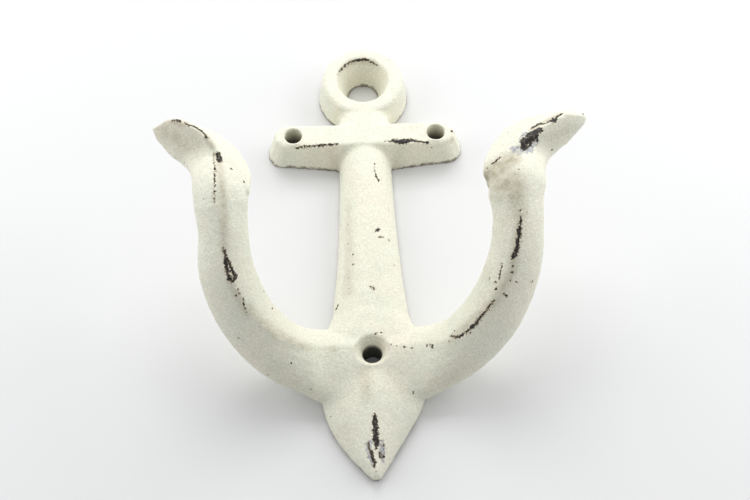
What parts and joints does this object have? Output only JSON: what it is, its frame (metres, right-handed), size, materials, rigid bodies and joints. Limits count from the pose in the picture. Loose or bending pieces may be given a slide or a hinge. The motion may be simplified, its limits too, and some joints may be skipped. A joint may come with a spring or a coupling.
{
  "type": "double wall hook",
  "caption": "Cast-iron double wall hook in the shape of a fluke anchor, with a ring, a cross bar, a shank and two forward-curving arms, fixed by screws through its back plane.",
  "frame": {"origin": "on the wall plane (the flat back of the casting), on the centre line of the shank, midway between the top of the ring and the tip of the point", "axes": "+Z out of the wall, +Y up the shank to the ring, +X to the right as seen from the front"},
  "size_m": [0.1073, 0.127, 0.0486],
  "materials": {
    "paint_ring": "cream paint over sand-cast iron, rubbed through on the edges",
    "paint_stock": "cream paint over sand-cast iron, rubbed through on the edges",
    "paint_shank": "cream paint over sand-cast iron, lightly stained",
    "paint_crown": "cream paint over sand-cast iron, lightly stained",
    "paint_point": "cream paint over sand-cast iron, rubbed through on the ridge",
    "paint_arms": "cream paint over sand-cast iron, rubbed through on the ridge",
    "paint_flukes": "cream paint over sand-cast iron, rubbed through on the ridge"
  },
  "bodies": {
    "root": {"ring": "paint_ring", "stock": "paint_stock", "shank": "paint_shank", "crown": "paint_crown", "crown_point": "paint_point", "arm_left": "paint_arms", "arm_right": "paint_arms", "fluke_left": "paint_flukes", "fluke_right": "paint_flukes"}
  },
  "joints": []
}
